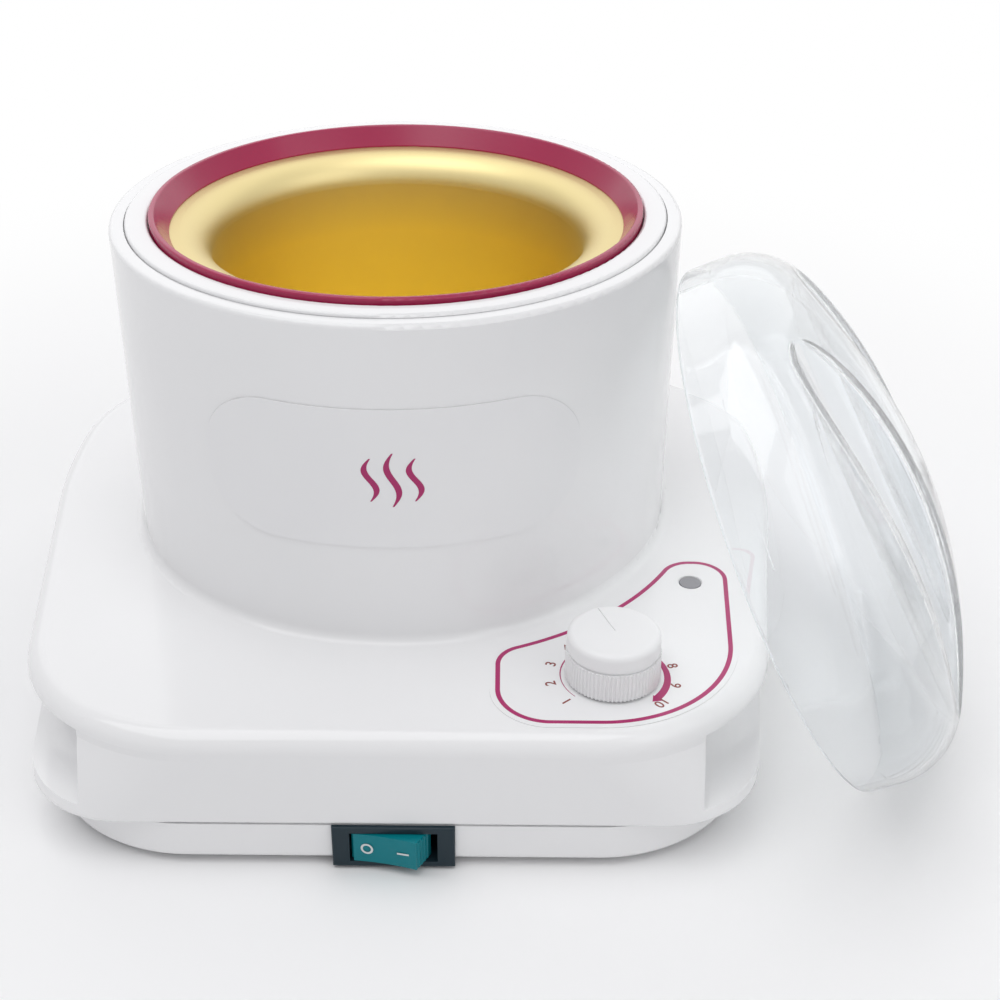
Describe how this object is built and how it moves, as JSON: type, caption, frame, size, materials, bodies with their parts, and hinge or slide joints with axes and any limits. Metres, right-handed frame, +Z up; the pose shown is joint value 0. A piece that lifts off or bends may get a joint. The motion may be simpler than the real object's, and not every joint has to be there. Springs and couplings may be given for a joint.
{
  "type": "wax warmer",
  "caption": "Table-top wax warmer: heated round pot in a white moulded base with dial, rocker switch and finger grips, with its clear lid leaning on the side.",
  "frame": {"origin": "on the table top, under the axis of the pot", "axes": "+Z up along the pot's axis, -Y towards the switch at the front, +X towards the side that the lid leans on"},
  "size_m": [0.2602, 0.2127, 0.1329],
  "materials": {
    "white_shell": "smooth semi-gloss",
    "ring_magenta": "glossy, slightly see-through",
    "pot_gold": "satin, gold anodised",
    "heater_rubber": "matt",
    "steel_sheet": "satin",
    "insulation": "fibrous",
    "phenolic": "matt",
    "ceramic_white": "matt",
    "copper": "satin",
    "brass": "satin",
    "zinc": "zinc plated",
    "knob_white": "satin",
    "lens_grey": "clear grey",
    "clip_black": "matt",
    "bezel_slate": "satin",
    "rocker_teal": "satin",
    "label_film": "clear film with printed line and numbers",
    "plate_silver": "matt",
    "foot_rubber": "matt",
    "lead_black": "satin",
    "lead_white": "satin",
    "lid_clear": "clear"
  },
  "bodies": {
    "base": {"upper_housing": "white_shell", "base_tray": "white_shell", "rubber_feet": "foot_rubber", "tray_screws": "zinc", "top_ring": "white_shell", "bowl_collar": "ring_magenta", "wax_pot": "pot_gold", "heater_band": "heater_rubber", "band_strap": "steel_sheet", "strap_rivet": "zinc", "insulation_sleeve": "insulation", "insulation_pad": "insulation", "heat_shield": "steel_sheet", "shield_screws": "zinc", "thermal_cutout": "phenolic", "sensor_bulb": "copper", "sensor_capillary": "copper", "thermostat_body": "phenolic", "thermostat_base": "ceramic_white", "thermostat_blades": "brass", "thermostat_nut": "zinc", "indicator_lamp": "lens_grey", "lamp_clip": "clip_black", "switch_housing": "bezel_slate", "switch_blades": "brass", "power_inlet": "clip_black", "inlet_pins": "brass", "inlet_blades": "brass", "panel_label": "label_film", "tower_label": "label_film", "rating_plate": "plate_silver", "lead_live": "lead_black", "lead_switched": "lead_black", "lead_control": "lead_white", "lead_neutral": "lead_white", "lead_heater": "lead_white", "lamp_leads": "lead_black"},
    "knob": {"control_knob": "knob_white", "thermostat_shaft": "zinc"},
    "rocker": {"switch_rocker": "rocker_teal"},
    "lid": {"lid": "lid_clear"}
  },
  "joints": [
    {"name": "lid_lift", "type": "slide", "parent": "base", "child": "lid", "axis": [0, 0, 1], "range_m": [0, 0.15]},
    {"name": "dial_turn", "type": "hinge", "parent": "base", "child": "knob", "pos_m": [0.057, -0.0896, 0.045], "axis": [0, 0, 1], "range_deg": [-154.5, 111.5]},
    {"name": "rocker_tip", "type": "hinge", "parent": "base", "child": "rocker", "pos_m": [0.0028, -0.1086, 0.00705], "axis": [0, 0, 1], "range_deg": [0, 24]}
  ]
}
